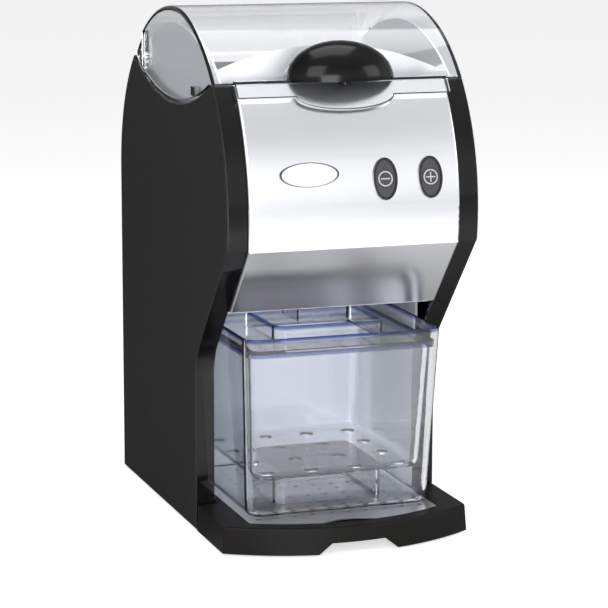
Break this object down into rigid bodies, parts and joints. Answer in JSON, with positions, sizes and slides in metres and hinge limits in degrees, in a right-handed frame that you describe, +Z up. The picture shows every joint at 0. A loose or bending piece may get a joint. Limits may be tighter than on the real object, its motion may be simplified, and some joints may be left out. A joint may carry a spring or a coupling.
{
  "type": "electric countertop ice crusher",
  "caption": "Electric countertop ice crusher with a hinged clear hopper lid, push buttons, a geared crushing rotor, a clear drawer bin with drain basket and a drip tray.",
  "frame": {"origin": "centre of the footprint on the table, under the rubber feet", "axes": "+Z up, the front with the buttons and the drip tray faces -Y, +X is the side of the plus button"},
  "size_m": [0.23, 0.3572, 0.4661],
  "materials": {
    "black_gloss": "glossy black moulding",
    "black_plastic": "satin black moulding",
    "black_painted": "powder coated sheet",
    "steel_front": "satin stainless steel",
    "badge": "pale satin plate",
    "button_grey": "dark grey keypad plastic",
    "mark_grey": "light grey print",
    "lid_clear": "clear polycarbonate",
    "bin_clear": "clear polycarbonate with a blue tint",
    "magnet_steel": "coated magnet",
    "hopper_steel": "stainless sheet",
    "sheet_steel": "zinc plated steel",
    "crusher_alloy": "cast alloy",
    "blade_steel": "hardened stainless steel",
    "bearing_bronze": "sintered bronze",
    "gear_nylon": "nylon",
    "motor_paint": "painted motor case",
    "capacitor_white": "white plastic can",
    "board_green": "coated circuit board block",
    "foot_rubber": "rubber feet"
  },
  "bodies": {
    "housing": {"side_panel_left": "black_gloss", "side_panel_right": "black_gloss", "front_panel": "steel_front", "badge_plate": "badge", "button_bezel_minus": "black_plastic", "button_bezel_plus": "black_plastic", "switch_minus": "black_plastic", "switch_plus": "black_plastic", "bay_side_left": "black_plastic", "bay_side_right": "black_plastic", "power_inlet": "black_plastic", "lid_sensor": "black_plastic", "spout": "bin_clear", "hopper_side_left": "hopper_steel", "hopper_side_right": "hopper_steel", "hopper_pan": "hopper_steel", "hopper_guard": "hopper_steel", "bay_back": "hopper_steel", "pivot_screw_left": "hopper_steel", "pivot_screw_right": "hopper_steel", "back_screws": "hopper_steel", "chute": "hopper_steel", "base_plate": "sheet_steel", "deck": "sheet_steel", "gear_plate": "sheet_steel", "idler_stud": "sheet_steel", "back_panel": "black_painted", "crusher_housing": "crusher_alloy", "breaker_comb": "blade_steel", "bearing_left": "bearing_bronze", "bearing_right": "bearing_bronze", "motor": "motor_paint", "capacitor": "capacitor_white", "control_board": "board_green", "feet": "foot_rubber"},
    "lid": {"lid_shell": "lid_clear", "lid_knob": "black_gloss", "lid_magnet": "magnet_steel"},
    "button_minus": {"button_minus": "button_grey", "button_mark_minus": "mark_grey"},
    "button_plus": {"button_plus": "button_grey", "button_mark_plus": "mark_grey"},
    "rotor": {"rotor_drum": "blade_steel", "rotor_shaft": "sheet_steel", "rotor_gear": "blade_steel"},
    "idler": {"idler_gear": "gear_nylon"},
    "motor_rotor": {"motor_shaft": "sheet_steel", "motor_pinion": "blade_steel"},
    "bin": {"bin_outer": "bin_clear", "bin_basket": "bin_clear", "bin_cover": "bin_clear"},
    "tray": {"drip_tray": "black_plastic", "drip_grille": "hopper_steel"}
  },
  "joints": [
    {"name": "lid_hinge", "type": "hinge", "parent": "housing", "child": "lid", "pos_m": [0, 0.10651, 0.413], "axis": [-1, 0, 0], "range_deg": [0, 75]},
    {"name": "button_minus_press", "type": "slide", "parent": "housing", "child": "button_minus", "axis": [0, 0.983, -0.1835], "range_m": [0, 0.0025], "stiffness_N_per_m": 500, "springref_m": -0.001},
    {"name": "button_plus_press", "type": "slide", "parent": "housing", "child": "button_plus", "axis": [0, 0.983, -0.1835], "range_m": [0, 0.0025], "stiffness_N_per_m": 500, "springref_m": -0.001},
    {"name": "rotor_spin", "type": "hinge", "parent": "housing", "child": "rotor", "pos_m": [0, -0.04, 0.298], "axis": [1, 0, 0], "continuous": true},
    {"name": "idler_spin", "type": "hinge", "parent": "housing", "child": "idler", "pos_m": [0.09, 0.05994, 0.30142], "axis": [1, 0, 0], "continuous": true},
    {"name": "motor_spin", "type": "hinge", "parent": "housing", "child": "motor_rotor", "pos_m": [0.09, 0.118, 0.258], "axis": [1, 0, 0], "continuous": true},
    {"name": "bin_slide", "type": "slide", "parent": "housing", "child": "bin", "axis": [0, -1, 0], "range_m": [0, 0.26]},
    {"name": "tray_slide", "type": "slide", "parent": "housing", "child": "tray", "axis": [0, -1, 0], "range_m": [0, 0.22]}
  ],
  "couplings": [
    {"joint": "idler_spin", "follows": "rotor_spin", "ratio": -1},
    {"joint": "motor_spin", "follows": "rotor_spin", "ratio": 2.2222}
  ]
}
